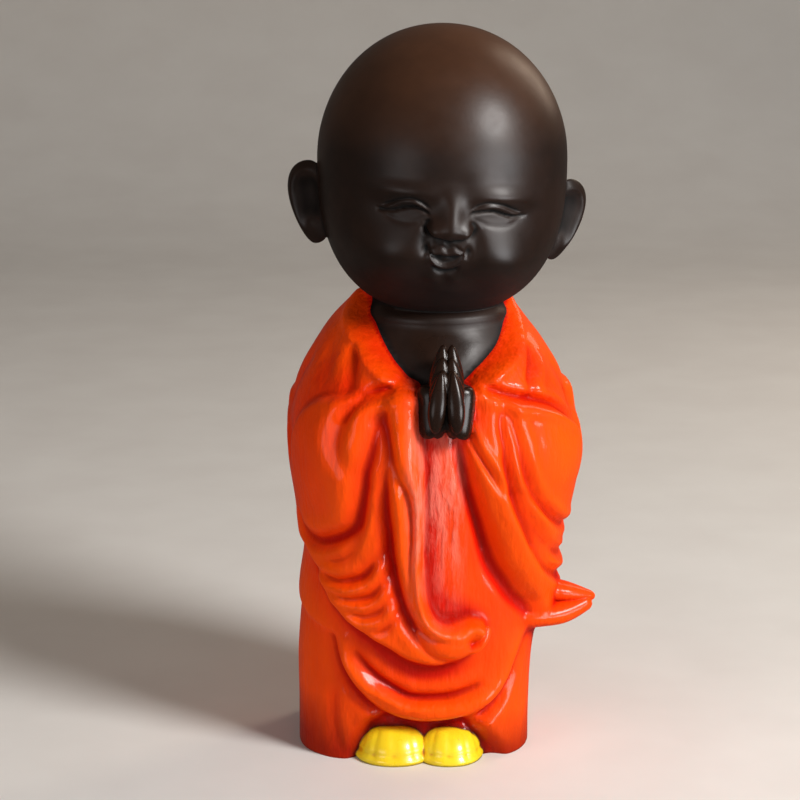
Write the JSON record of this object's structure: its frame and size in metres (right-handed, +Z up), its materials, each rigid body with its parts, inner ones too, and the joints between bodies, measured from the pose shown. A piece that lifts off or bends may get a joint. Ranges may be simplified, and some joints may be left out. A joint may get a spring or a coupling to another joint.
{
  "type": "baby monk statue",
  "caption": "Standing figure of a bald child monk in a draped robe, hands pressed together, eyes closed, with a flat underside to stand on a shelf.",
  "frame": {"origin": "middle of the flat underside", "axes": "+Z up the figure, the figure faces -Y, +X at the right of someone who looks at its face"},
  "size_m": [0.0855, 0.0728, 0.2],
  "materials": {
    "painted_resin": "gloss orange paint on the robe, satin dark brown on the head, neck and hands, gloss yellow on the shoes"
  },
  "bodies": {
    "root": {"baby_monk_statue": "painted_resin"}
  },
  "joints": []
}
